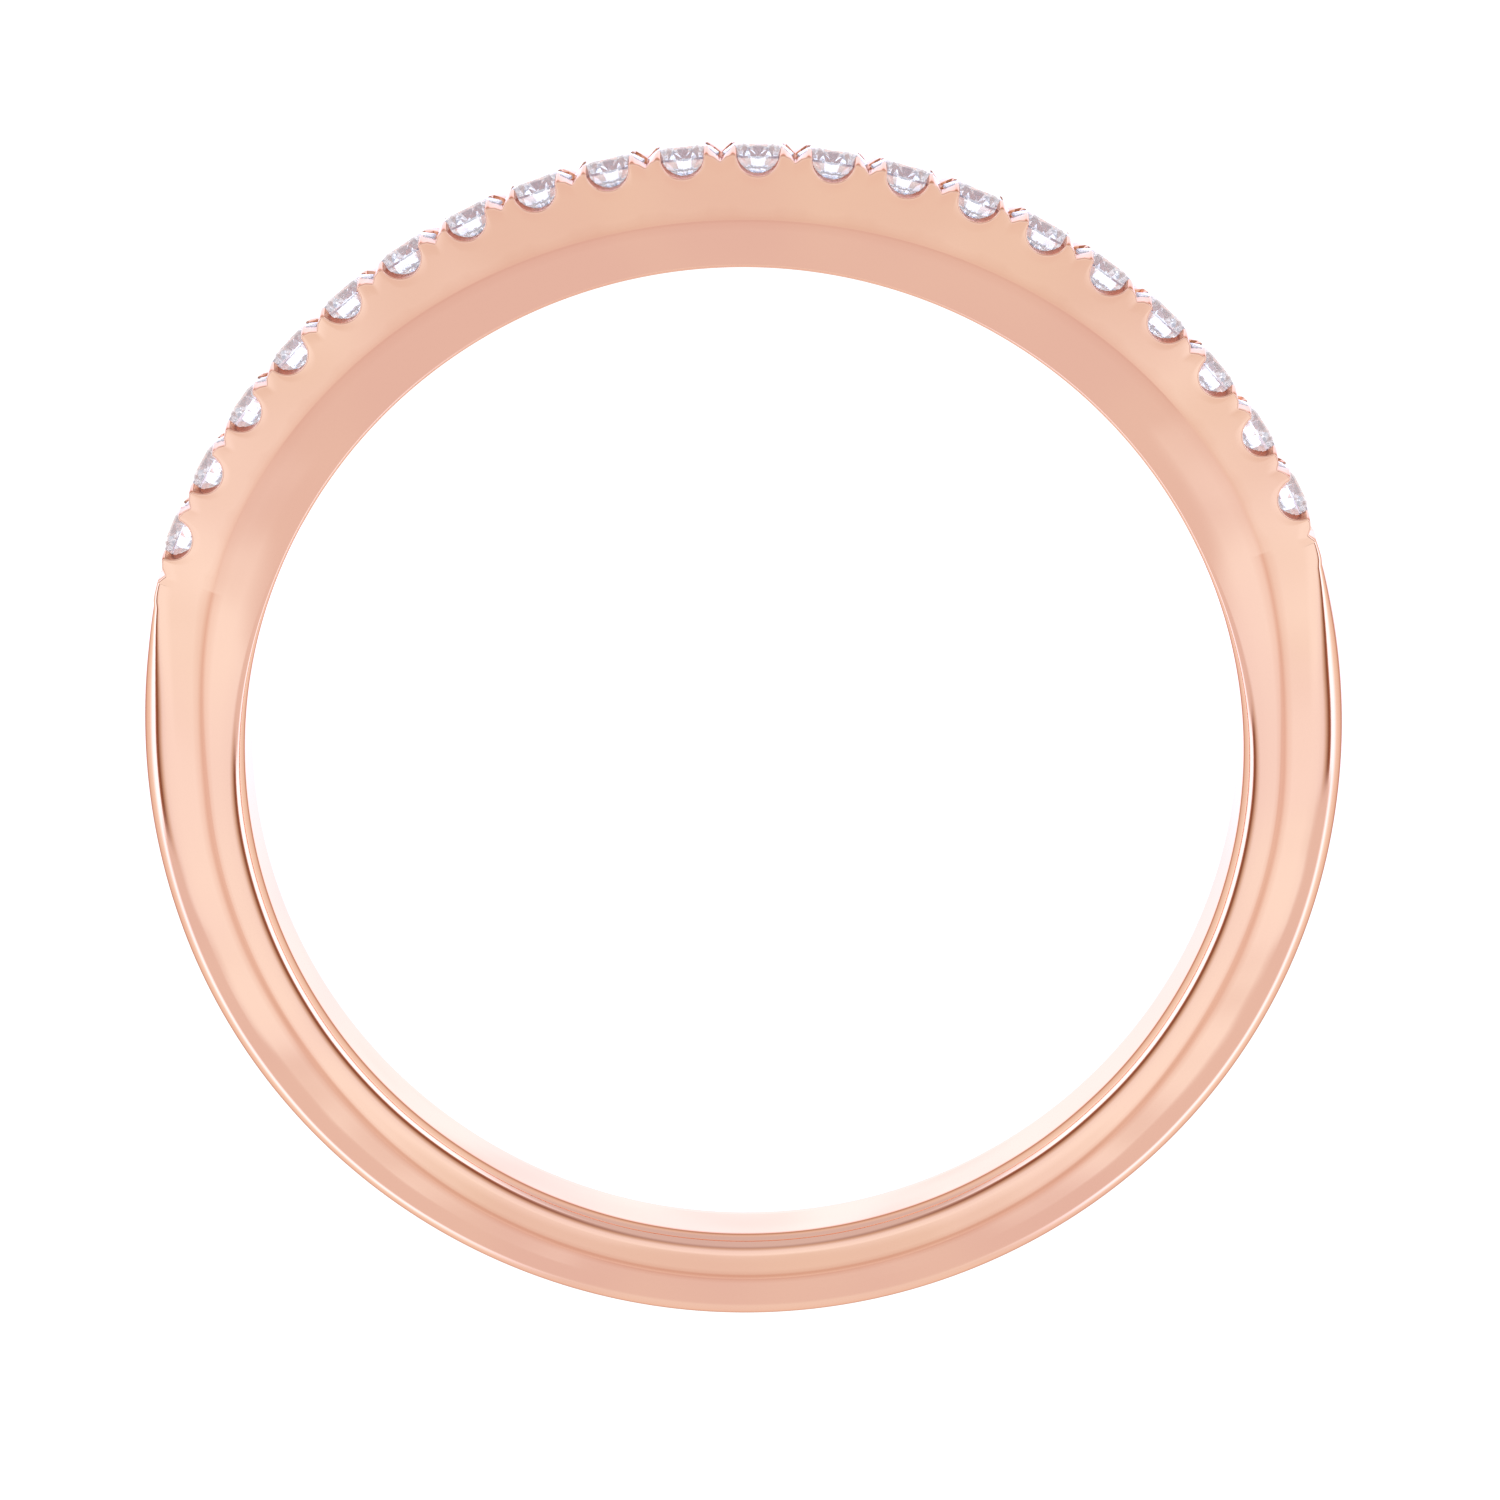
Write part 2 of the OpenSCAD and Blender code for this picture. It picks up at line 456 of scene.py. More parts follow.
@dataclass(frozen=True)
class RingSizes:
    """The ring's driving sizes, in millimetres and degrees.

    They are the CAD model's, apart from a finer rounding of the bore's and the rim's edges, a crease
    whose radius changes round the ring, and a saddle between the claws. crease_stations are pairs of an
    angle from the top and the crease's radius there.
    """

    bore_r: float = 8.25
    bore_edge_r: float = 0.1
    shank_bore_edge_r: float = 0.36
    width: float = 1.88
    base_r: float = 9.71
    side_r: float = 9.91
    shoulder_r: float = 10.11
    head_r: float = 10.15
    crease_stations: tuple[tuple[float, float], ...] = (
        (0, 9.04),
        (60, 9.22),
        (92, 8.86),
        (122, 8.80),
        (150, 8.86),
        (180, 8.88),
    )
    saddle_r: float = 9.93
    saddle_half: float = 0.2
    lean: float = 0.14
    crease_round: float = 0.05
    shank_crease_round: float = 0.3
    shank_edge_r: float = 0.42
    shank_dome_r: float = 2.5
    head_edge_r: float = 0.03
    head_dome_r: float = 6.0
    shoulder_span: float = 36.0
    edge_span: float = 15.0
    count: int = 20
    stone_d: float = 1.15
    stone_gap: float = 0.05
    girdle_r: float = 9.9751
    girdle_h: float = 0.035
    crown_angle: float = 34.5
    seat_gap: float = 0.01
    bearing: float = 0.135
    bearing_drop: float = 0.11
    well_floor_r: float = 9.3996
    light_hole_d: float = 0.5
    funnel_h: float = 0.2
    girdle_room: float = 0.005
    well_taper: float = 0.001
    scallop_depth: float = 0.42
    scallop_extra: float = 0.0105
    post: float = 0.54
    notch_depth: float = 0.18
    notch_hollow_r: float = 0.02
    shoulder_corner_r: float = 0.05

    @property
    def half_width(self) -> float:
        """Half of the band's width."""
        return self.width / 2

    @property
    def pitch(self) -> float:
        """Angle from one stone to the next, in radians."""
        return 2 * math.asin((self.stone_d + self.stone_gap) / 2 / self.girdle_r)

    @property
    def row_half(self) -> float:
        """Angle from the row's middle to its last notch, in radians."""
        return self.pitch * self.count / 2

    @property
    def scallop_r(self) -> float:
        """Radius of a scallop."""
        return ((self.stone_d + self.stone_gap) - self.post) / 2 + self.scallop_extra

    @property
    def scallop_h(self) -> float:
        """Height of a scallop's centre above the bore's axis."""
        return self.head_r - self.scallop_depth + self.scallop_r

    @property
    def seat_r(self) -> float:
        """Radius of a stone's seat."""
        return self.stone_d / 2 + self.seat_gap

    @property
    def stone_angles(self) -> Array:
        """Angle of each stone from the top of the ring, in radians, from −X to +X."""
        return (np.arange(self.count) - (self.count - 1) / 2) * self.pitch


class SectionLines(Enum):
    """The evenly divided parts of half the section, from the middle of the bore outwards."""

    LAND = ("land", 9)
    BORE_EDGE = ("bore edge", 9)
    CREASE = ("crease", 5)
    RIM = ("rim", 7)
    RIDGE = ("ridge", 4)
    SEAT = ("seat", 8)

    @property
    def label(self) -> str:
        """The part's name."""
        return self.value[0]

    @property
    def count(self) -> int:
        """How many lines run round the ring on it."""
        return self.value[1]


@dataclass
class Band:
    """The cast band: a section carried round the bore, cut to scallops, notches, claws and seats.

    Lengths are in millimetres and angles in radians, apart from the steps along the shank, in degrees.
    A fade is the stretch over which a value changes, measured from the last notch or across a stone.
    A shade is how much painted shade, the recesses' deep copper, a place takes, from 0 to 1.
    """

    sizes: RingSizes = field(default_factory=RingSizes)
    finish: PolishedGold = field(default_factory=PolishedGold)
    # the grid's lines
    arc_steps: int = 9
    tip_steps: int = 6
    hollow_lines: int = 3
    hole_rings: int = 6
    corner_lines: int = 4
    first_step: float = 0.35
    ramp_steps: int = 9
    shank_step: float = 1.15
    lean_shares: tuple[float, ...] = (0.4, 0.75, 0.93)
    wall_shares: tuple[float, ...] = (0.09, 0.25, 0.5, 0.75)
    sharp_over: float = math.radians(38)
    # where the outline's lines stand on the bore
    foot_depth: float = 0.05
    foot_even: float = 0.15
    foot_least: float = 0.0009
    # the hand's small differences
    hand_seed: int = 7
    hand_swing: float = 0.012
    # the shoulder's corner
    slope_short: float = 0.01
    corner_lift: float = 0.012
    corner_fade: float = math.radians(8)
    # how the section changes from the head to the shank
    bore_edge_fade: Span = (-0.1, 0.5)
    rim_lead: float = math.radians(2)
    dome_fade: Span = (0.02, 0.06)
    ridge_fade: Span = (0.02, 0.2)
    saddle_fade: float = 0.012
    dome_above: float = 0.04
    flat_bend: float = 1e-4
    # claws, saddles and seats
    claw_fade: Span = (0.40, 0.47)
    saddle_edge: Span = (0.42, 0.47)
    lip_gap: float = 0.015
    lip_most: float = 0.14
    seat_even: float = 0.12
    block_lean: float = math.radians(74)
    hole_growth: float = 0.12
    # painted shades
    notch_shade: float = 0.6
    crease_shade: float = 0.42
    claw_shade: float = 0.28
    crease_side_share: float = 0.4
    head_crease_share: float = 0.5
    shade_above: Span = (0.12, 0.02)
    shade_across: Span = (0.45, 0.40)
    shade_lines: Span = (3.0, -1.0)
    seat_shade_lines: Span = (0.5, -0.5)

    @property
    def half_cell(self) -> int:
        """How many lines half of a stone's outline takes."""
        return self.arc_steps + self.tip_steps + self.hollow_lines + 2

    @property
    def hole_half(self) -> tuple[int, int]:
        """Half of a light hole's block, in lines round the ring and in section lines."""
        return self.half_cell - self.hole_rings, SectionLines.LAND.count - self.hole_rings

    # ---- outline

    def _half_outline(self, tip_r: Array, notch_r: Array) -> tuple[Array, Array, Array, Array]:
        """Half of one stone's outline across the bore, from the scallop's bottom to the notch's.

        The scallop is a circle about a centre above the stone's girdle. Its flank rises to the claw's
        tip, which is a circle that touches the flank and the notch's 45° side and whose top is at
        tip_r. The notch's bottom is a small hollow circle.

        Args:
            tip_r: Height of each claw, one number a stone.
            notch_r: Height of each notch's bottom, one number a stone.

        Returns:
            u, h, and the outward normal's two parts, each stones × (half_cell + 1).
        """
        s = self.sizes
        turn = s.pitch / 2
        scallop_r, scallop_h = s.scallop_r, s.scallop_h
        ones = np.ones_like(tip_r)[:, None]
        down = np.linspace(0.0, math.pi / 2, self.arc_steps + 1)[None, :] * ones
        arc = (scallop_r * np.sin(down), scallop_h - scallop_r * np.cos(down), -np.sin(down), np.cos(down))
        root2 = math.sqrt(2)
        nx, nh = (math.cos(turn) + math.sin(turn)) / root2, (math.cos(turn) - math.sin(turn)) / root2
        apex_u, apex_h = notch_r * math.sin(turn), notch_r * math.cos(turn)
        tip = (-nx * (scallop_r - apex_u) - nh * (tip_r - apex_h)) / (nx - nh + 1)
        tip_u, tip_h = scallop_r + tip, tip_r - tip
        last = math.pi / 4 - turn
        swing = np.linspace(math.pi, last, self.tip_steps + 1)[None, :] * ones
        cap = (
            tip_u[:, None] + tip[:, None] * np.cos(swing),
            tip_h[:, None] + tip[:, None] * np.sin(swing),
            np.cos(swing),
            np.sin(swing),
        )
        hollow = s.notch_hollow_r
        side = np.linspace(math.pi / 4, math.pi / 2, self.hollow_lines)[None, :] * ones
        low_u = -hollow * np.cos(side)
        low_h = notch_r[:, None] + hollow * root2 - hollow * np.sin(side)
        low = (*turned(low_u, low_h, turn), *turned(np.cos(side), np.sin(side), turn))
        start = [p[:, -1:] for p in cap]
        end = [p[:, :1] for p in low]
        middle = [(a + b) / 2 for a, b in zip(start, end)]
        parts = [np.concatenate(rows, axis=1) for rows in zip(arc, cap, middle, low)]
        return parts[0], parts[1], parts[2], parts[3]

    def _hand_heights(self) -> tuple[Array, Array]:
        """Draws the small differences in height that filing by hand leaves.

        Returns:
            The heights of the two claws beside each stone, stones × 2, and of the notches' bottoms.
        """
        s = self.sizes
        rng = np.random.default_rng(self.hand_seed)
        claws = s.head_r + self.hand_swing * rng.uniform(-1, 1, (s.count, 2))
        notches = s.head_r - s.notch_depth + self.hand_swing * rng.uniform(-1, 1, s.count + 1)
        return claws, notches

    def _cells(self, claws: Array, notches: Array) -> dict[str, Array]:
        """Every stone's outline, stone by stone from −X to +X, without the last notch's own line.

        A line's foot on the bore lies under a point a little inside the outline, mixed with an even
        spread, and no two feet come closer than a least step.

        Args:
            claws: Heights of the claws, stones × 2.
            notches: Heights of the notches' bottoms, one more than the stones.

        Returns:
            Plane points x, z, outward normals nx, nz, the stone's own axis dx, dz, the base angle,
            and the local u and h, each stones × (2 half_cell).
        """
        s = self.sizes
        right = self._half_outline(claws[:, 1], notches[1:])
        left = self._half_outline(claws[:, 0], notches[:-1])
        halves = zip((-1, 1, -1, 1), left, right)
        u, h, nu, nh = (np.concatenate([sign * a[:, :0:-1], b], axis=1)[:, :-1] for sign, a, b in halves)
        axis = s.stone_angles[:, None]
        x, z = turned(u, h, axis)
        nx, nz = turned(nu, nh, axis)
        even = np.arange(-self.half_cell, self.half_cell)[None, :] / self.half_cell * s.pitch / 2
        foot_u, foot_h = u - nu * self.foot_depth, h - nh * self.foot_depth
        spread = (1 - self.foot_even) * np.arctan2(foot_u, foot_h) + self.foot_even * even
        steps = np.maximum(np.diff(spread, axis=1, append=s.pitch / 2), self.foot_least)
        steps = steps * s.pitch / steps.sum(axis=1, keepdims=True)
        spread = np.cumsum(steps, axis=1) - steps - s.pitch / 2
        dx, dz = turned(np.zeros_like(u), np.ones_like(u), axis)
        base = axis + spread
        return {"x": x, "z": z, "nx": nx, "nz": nz, "dx": dx, "dz": dz, "base": base, "u": u, "h": h}

    def _outer_radius(self, angle: Array) -> Array:
        """Outside radius of the shank and shoulders.

        The shank is a wheel set off the bore's centre. A shoulder adds a height that grows with the
        square of the angle from the shoulder's low end.

        Args:
            angle: Angle from the top, in radians.

        Returns:
            Radius in millimetres.
        """
        s = self.sizes
        bottom, side = s.base_r, s.side_r
        rise = (side * side - bottom * bottom) / (2 * bottom)
        wheel_r = bottom + rise

        def wheel(at: Numbers) -> Numbers:
            """Radius, from the bore's axis, of a wheel whose centre lies above it by the rise."""
            return rise * np.cos(at) + np.sqrt(wheel_r**2 - (rise * np.sin(at)) ** 2)

        span = math.radians(s.shoulder_span)
        climb = np.clip((s.row_half + span - np.abs(angle)) / span, 0.0, None)
        return wheel(angle) + (s.shoulder_r - wheel(s.row_half)) * climb**2

    def _shank(self, notch_r: float) -> dict[str, Array]:
        """The outline from the last notch at +X round to the bottom of the ring.

        The notch's hollow and its 45° side lead to a small rounded corner, and the shank's outer radius
        follows from there, in steps that start short and grow.

        Args:
            notch_r: Height of that notch's bottom.

        Returns:
            What _cells gives, apart from u and h, with one number a line.
        """
        s = self.sizes
        hollow, corner = s.notch_hollow_r, s.shoulder_corner_r
        side = np.linspace(math.pi / 2, math.pi / 4, self.hollow_lines)
        low_u, low_h = hollow * np.cos(side), notch_r + hollow * math.sqrt(2) - hollow * np.sin(side)
        low_nu, low_nh = -np.cos(side), np.sin(side)
        slope = s.shoulder_r - notch_r - self.slope_short
        bend = np.linspace(math.pi * 3 / 4, math.pi / 2, self.corner_lines)
        centre_u = slope + corner * math.tan(math.pi / 8)
        centre_h = notch_r + slope - corner + self.corner_lift
        cap_u, cap_h = centre_u + corner * np.cos(bend), centre_h + corner * np.sin(bend)
        u = np.concatenate([low_u, cap_u])
        h = np.concatenate([low_h, cap_h])
        nu = np.concatenate([low_nu, np.cos(bend)])
        nh = np.concatenate([low_nh, np.sin(bend)])
        x, z = turned(u, h, s.row_half)
        nx, nz = turned(nu, nh, s.row_half)
        first = math.atan2(x[-1], z[-1])
        gap = math.hypot(x[-1], z[-1]) - float(self._outer_radius(np.array(first)))
        start = math.degrees(first)
        steps = np.geomspace(self.first_step, self.shank_step, self.ramp_steps)
        ramp = start + np.cumsum(steps)
        rest = np.arange(ramp[-1] + self.shank_step, 180 + self.shank_step / 2, self.shank_step)
        rest = ramp[-1] + (rest - ramp[-1]) * (180 - ramp[-1]) / (rest[-1] - ramp[-1])
        angle = np.radians(np.concatenate([ramp, rest]))
        radius = self._outer_radius(angle) + gap * (1 - smooth_rise(angle, first, first + self.corner_fade))
        x = np.concatenate([x, radius * np.sin(angle)])
        z = np.concatenate([z, radius * np.cos(angle)])
        nx = np.concatenate([nx, np.sin(angle)])
        nz = np.concatenate([nz, np.cos(angle)])
        near = np.linspace(s.row_half, float(angle[0]), len(u) + 1)[:-1]
        axis = np.concatenate([np.full(len(u), s.row_half), angle])
        base = np.concatenate([near, angle])
        return {"x": x, "z": z, "nx": nx, "nz": nz, "dx": np.sin(axis), "dz": np.cos(axis), "base": base}

    # ---- section

    def _section(
        self, line: dict[str, Array], edge_r: Array, bend: Array, inner: Array, saddle: Array
    ) -> list[Array]:
        """Half of the section at each line, from the middle of the bore round to the last ridge line.

        The land is level with the bore. A small circle joins it to the leaning face, another softens
        the crease, the wall stands straight, and the rim's circle touches the wall and the domed top.
        The ridge lines then run inwards over the dome to y = −inner.

        Args:
            line: Outline points, normals and base angles, each N.
            edge_r: The rim circle's radius at each line.
            bend: The dome's curvature at each line.
            inner: How far from the middle the ridge lines stop, at each line.
            saddle: How far the last ridge line sinks to the saddle between the claws, from 0 to 1.

        Returns:
            For each section line, an N × 3 array in millimetres, with y negative.
        """
        s = self.sizes
        half = s.half_width
        crease_r = self._crease_radius(line["base"])
        lean = np.arctan2(crease_r - s.bore_r, s.lean)
        rows: list[Array] = []
        sin_b, cos_b = np.sin(line["base"]), np.cos(line["base"])

        def ring(radius: Numbers, y: Numbers) -> Array:
            """Points at this radius and place along the bore, at every base angle."""
            r = radius * np.ones_like(sin_b)
            return np.stack([r * sin_b, y * np.ones_like(sin_b), r * cos_b], axis=-1)

        fade_from, fade_to = self.bore_edge_fade
        in_shank = smooth_rise(np.abs(line["base"]), s.row_half + fade_from, s.row_half + fade_to)
        bore_edge = s.bore_edge_r + (s.shank_bore_edge_r - s.bore_edge_r) * in_shank
        land_y = half - s.lean - bore_edge * np.tan(lean / 2)
        land = SectionLines.LAND.count
        for step in range(land + 1):
            rows.append(ring(s.bore_r, -land_y * step / land))
        for share in np.linspace(0, 1, SectionLines.BORE_EDGE.count)[1:]:
            turn = lean * share
            rows.append(
                ring(s.bore_r + bore_edge * (1 - np.cos(turn)), -(land_y + bore_edge * np.sin(turn)))
            )
        soft = s.crease_round + (s.shank_crease_round - s.crease_round) * in_shank
        rest = math.pi / 2 - lean
        centre_r = crease_r + soft * np.tan(rest / 2)
        lean_end = ring(centre_r - soft * np.sin(rest), -(half - soft + soft * np.cos(rest)))
        lean_start = rows[-1]
        for share in self.lean_shares:
            rows.append(lean_start + (lean_end - lean_start) * share)
        for share in np.linspace(1, 0, SectionLines.CREASE.count):
            turn = rest * share
            rows.append(ring(centre_r - soft * np.sin(turn), -(half - soft + soft * np.cos(turn))))
        dome_r = 1 / bend
        rim_q = dome_r - np.sqrt((dome_r - edge_r) ** 2 - (half - edge_r) ** 2)
        foot = rows[-1]
        drop = rim_q - edge_r
        top = self._under(line, edge_r, drop, -half)
        for share in self.wall_shares:
            rows.append(foot + (top - foot) * share)
        slope, rim_y = self._rim(edge_r, bend)
        last = math.pi / 2 - slope
        for share in np.linspace(0, 1, SectionLines.RIM.count):
            turn = last * share
            depth, y = edge_r * (1 - np.sin(turn)), half - edge_r + edge_r * np.cos(turn)
            rows.append(self._under(line, depth, drop, -y))
        ridge = SectionLines.RIDGE.count
        for step in range(1, ridge + 1):
            y = rim_y + (inner - rim_y) * step / ridge
            rows.append(self._under(line, 0.0, self._dome(bend, y), -y))
        rows[-1] = self._sunk(rows[-1], saddle)
        return rows

    def _rim(self, edge_r: Array, bend: Array) -> tuple[Array, Array]:
        """Where the rim's circle touches the dome.

        The rim's centre is edge_r from the wall and dome_r − edge_r from the dome's centre, so the sine
        of the slope there is (half width − edge_r) / (dome_r − edge_r).

        Args:
            edge_r: The rim circle's radius.
            bend: The dome's curvature.

        Returns:
            The slope in radians, and the distance from the band's middle.
        """
        half = self.sizes.half_width
        slope = np.arcsin((half - edge_r) / (1 / bend - edge_r))
        return slope, half - edge_r + edge_r * np.sin(slope)

    def _sunk(self, points: Array, share: Array) -> Array:
        """Points lowered towards the saddle between the claws, by a share of their height above it.

        Args:
            points: N × 3, in millimetres.
            share: One share a point.

        Returns:
            The lowered points.
        """
        radius = np.hypot(points[:, 0], points[:, 2])
        factor = 1 - share * np.clip(radius - self.sizes.saddle_r, 0.0, None) / radius
        return points * np.stack([factor, np.ones_like(factor), factor], axis=-1)

    def _crease_radius(self, angle: Array) -> Array:
        """Radius of the crease, which runs smoothly from one station to the next.

        Args:
            angle: Angle from the top, in radians.

        Returns:
            Radius in millimetres.
        """
        stations = np.array(self.sizes.crease_stations)
        at = np.degrees(np.abs(angle))
        radius = np.full_like(at, stations[0, 1])
        for (low, low_r), (high, high_r) in zip(stations[:-1], stations[1:]):
            radius = radius + (high_r - low_r) * smooth_rise(at, low, high)
        return radius

    @staticmethod
    def _dome(bend: Array, y: Array) -> Array:
        """How far the dome has dropped at a distance y from the middle."""
        return (1 - np.sqrt(np.clip(1 - (bend * y) ** 2, 0.0, None))) / bend

    @staticmethod
    def _under(line: dict[str, Array], depth: Numbers, drop: Numbers, y: Numbers) -> Array:
        """Points inside the outline.

        Args:
            line: Outline points and their directions, each N.
            depth: How far against the outline's normal.
            drop: How far towards the bore, along the stone's axis.
            y: Place along the bore.

        Returns:
            N × 3, in millimetres.
        """
        x = line["x"] - line["nx"] * depth - line["dx"] * drop
        z = line["z"] - line["nz"] * depth - line["dz"] * drop
        return np.stack([x, y * np.ones_like(x), z], axis=-1)

    def _head_section(self, cells: dict[str, Array]) -> Array:
        """The full section at every line of the row, with the seats.

        Args:
            cells: What _cells gives.

        Returns:
            stones × lines × section lines × 3, in millimetres.
        """
        s = self.sizes
        shape = cells["x"].shape
        flat = {k: v.ravel() for k, v in cells.items()}
        crown = math.tan(math.radians(s.crown_angle))
        girdle_top = s.girdle_r + s.girdle_h + s.seat_gap
        u, h = np.abs(flat["u"]), flat["h"]
        edge_r = np.full_like(u, s.head_edge_r)
        high = smooth_rise(h, s.girdle_r + self.dome_above, s.head_r)
        bend = self.flat_bend + high / s.head_dome_r
        over = np.clip((h - girdle_top) / crown, 0.0, self.lip_most) * (1 - smooth_rise(u, *self.claw_fade))
        lip = s.seat_r + self.lip_gap - over
        inner = np.sqrt(np.clip(lip**2 - u**2, s.saddle_half**2, None))
        saddle = smooth_rise(u, *self.saddle_edge)
        near = self._section(flat, edge_r, bend, inner, saddle)
        far = [row * OTHER_FACE for row in near]
        seat = self._seat(flat["u"].reshape(shape))
        # the loop runs: land middle, near side outwards, seat, far side inwards
        rows = near + seat + far[:0:-1]
        return np.stack(rows, axis=1).reshape(*shape, len(rows), 3)

    def _seat(self, u: Array) -> list[Array]:
        """The seat's lines at every line of the row.

        In a block of lines about each stone, nested squares of the grid become nested circles: the
        girdle's groove, the bearing, the well and the mouth of the light hole. A circle's point takes
        its height from the circle or from the scallop or notch there, whichever is lower.

        Args:
            u: The outline's distance across the stone's axis, stones × lines.

        Returns:
            For each seat line, an N × 3 array in millimetres.
        """
        s = self.sizes
        seat_r = s.seat_r
        well_r = seat_r - s.bearing
        bearing_h = s.girdle_r - s.seat_gap
        circles = np.array(
            [
                (seat_r + s.girdle_room, s.girdle_r + s.girdle_h + s.seat_gap),
                (seat_r, bearing_h),
                (seat_r - s.bearing / 2, bearing_h - s.bearing_drop / 2),
                (well_r, bearing_h - s.bearing_drop),
                (well_r - s.well_taper, s.well_floor_r),
                (s.light_hole_d / 2, s.well_floor_r - s.funnel_h),
            ]
        )
        seat, cell = SectionLines.SEAT.count, self.half_cell
        i = np.tile(np.arange(-cell, cell), (len(u), 1))
        outer = cell - 1
        mixed = (1 - self.seat_even) * u + self.seat_even * i / cell * seat_r
        edge = np.abs(mixed[:, [1, -1]]).max()
        limit = self.block_lean
        lean = np.arcsin(np.clip(mixed / edge * math.sin(limit), -1, 1))
        rows = []
        scallop_r, scallop_h = s.scallop_r, s.scallop_h
        for j in range(-seat, seat + 1):
            across = outer - np.abs(i)
            along = seat - abs(j)
            level = np.clip(np.minimum(across, along), 0, len(circles) - 1)
            reach = outer - level
            long_side = along <= across
            end_lean = np.abs(np.take_along_axis(lean, np.clip(reach + cell, 0, 2 * cell - 1), axis=1))
            swing = np.where(
                long_side,
                lean * limit / np.maximum(end_lean, TINY),
                np.sign(i) * (math.pi / 2 - (math.pi / 2 - limit) * abs(j) / np.maximum(seat - level, 1)),
            )
            radius, top = circles[level, 0], circles[level, 1]
            pu, py = radius * np.sin(swing), radius * np.cos(swing) * np.sign(j)
            floor = scallop_h - np.sqrt(np.clip(scallop_r**2 - pu**2, 0.0, None))
            floor = np.where(np.abs(pu) < scallop_r, floor, np.inf)
            sunk = smooth_rise(np.abs(pu), *self.saddle_edge)
            top = top * (1 - sunk) + np.minimum(top, s.saddle_r) * sunk
            ph = np.minimum(top, floor)
            shared = np.abs(i) == cell
            pu = np.where(shared, np.sign(i) * s.saddle_r * math.sin(s.pitch / 2), pu)
            ph = np.where(shared, s.saddle_r * math.cos(s.pitch / 2), ph)
            py = np.where(shared, s.saddle_half * j / (seat + 1), py)
            x, z = turned(pu, ph, s.stone_angles[:, None])
            rows.append(np.stack([x, py, z], axis=-1).reshape(-1, 3))
        return rows

    def _shank_section(self, line: dict[str, Array]) -> Array:
        """The full section at every line of one side of the shank.

        Args:
            line: What _shank gives.

        Returns:
            lines × section lines × 3, in millimetres.
        """
        s = self.sizes
        angle = np.abs(line["base"])
        start = s.row_half
        soft = smooth_rise(angle, start - self.rim_lead, start + math.radians(s.edge_span))
        edge_r = s.head_edge_r + (s.shank_edge_r - s.head_edge_r) * soft
        high = smooth_rise(np.hypot(line["x"], line["z"]), s.girdle_r + self.dome_above, s.head_r)
        high = np.maximum(high, smooth_rise(angle, start + self.dome_fade[0], start + self.dome_fade[1]))
        bend = self.flat_bend + high * ((1 - soft) / s.head_dome_r + soft / s.shank_dome_r)
        spread = smooth_rise(angle, start + self.ridge_fade[0], start + self.ridge_fade[1])
        seat, ridge = SectionLines.SEAT.count, SectionLines.RIDGE.count
        _, rim_y = self._rim(edge_r, bend)
        even = rim_y * (seat + 1) / (seat + 1 + ridge)
        inner = s.saddle_half * (1 - spread) + even * spread
        saddle = 1 - smooth_rise(angle, start, start + self.saddle_fade)
        near = self._section(line, edge_r, bend, inner, saddle)
        middle = []
        for j in range(-seat, seat + 1):
            y = inner * j / (seat + 1)
            middle.append(self._sunk(self._under(line, 0.0, self._dome(bend, y), y), saddle))
        far = [row * OTHER_FACE for row in near]
        rows = near + middle + far[:0:-1]
        return np.stack(rows, axis=1)

    # ---- mesh

    def _light_holes(self, grid: Array, base: Array) -> Array:
        """Moves the land's lines about each light hole on to a circle.

        In a block about each stone, the grid's nested squares turn smoothly from straight lines into
        the hole's circle, and every point stays on the bore.

        Args:
            grid: stones × lines × section lines × 3 of the row, in millimetres.
            base: Base angle of every line, stones × lines, in radians.

        Returns:
            The same array, changed.
        """
        s = self.sizes
        land, cell, rings = SectionLines.LAND.count, self.half_cell, self.hole_rings
        i = np.arange(-cell, cell)[:, None]
        j = np.arange(-land, land + 1)[None, :]
        level = np.minimum(cell - np.abs(i), land - np.abs(j))
        level = np.clip(level, 0, rings)
        reach_i, reach_j = cell - level, land - level
        long_side = (land - np.abs(j)) <= (cell - np.abs(i))
        limit = self.block_lean
        lean = np.where(
            long_side,
            i / reach_i * limit,
            np.sign(i) * (math.pi / 2 - (math.pi / 2 - limit) * np.abs(j) / np.maximum(reach_j, 1)),
        )
        hole_r = s.light_hole_d / 2
        grow = 1 + (rings - level) * self.hole_growth
        cu = hole_r * grow * np.sin(lean)
        cy = hole_r * grow * np.cos(lean) * np.sign(j)
        share = smooth_rise(level.astype(float), 0.0, rings)
        columns = np.arange(-land, land + 1) % grid.shape[2]
        flat_y = grid[0, :, columns, 1].T
        axis = s.stone_angles[:, None, None]
        flat_a = base[:, :, None] - axis
        y = flat_y * (1 - share) + cy * share
        angle = axis + flat_a * (1 - share) + (np.arcsin(cu / s.bore_r) * share)[None]
        block = np.stack(
            [s.bore_r * np.sin(angle), np.broadcast_to(y, angle.shape), s.bore_r * np.cos(angle)], axis=-1
        )
        grid[:, :, columns] = block
        return grid

    def _faces(self, lines: int, section: int) -> Array:
        """Four-cornered faces of the closed grid, open at the light holes, and the holes' walls.

        Args:
            lines: Lines round the ring.
            section: Lines round the section.

        Returns:
            M × 4 point numbers.
        """
        cell, count = self.half_cell, self.sizes.count
        line = np.arange(lines)[:, None]
        place = np.arange(section)[None, :]
        after, beside = (line + 1) % lines, (place + 1) % section

        def number(a: Array, b: Array) -> Array:
            """Point number of line a and section line b."""
            return (a % lines) * section + b % section

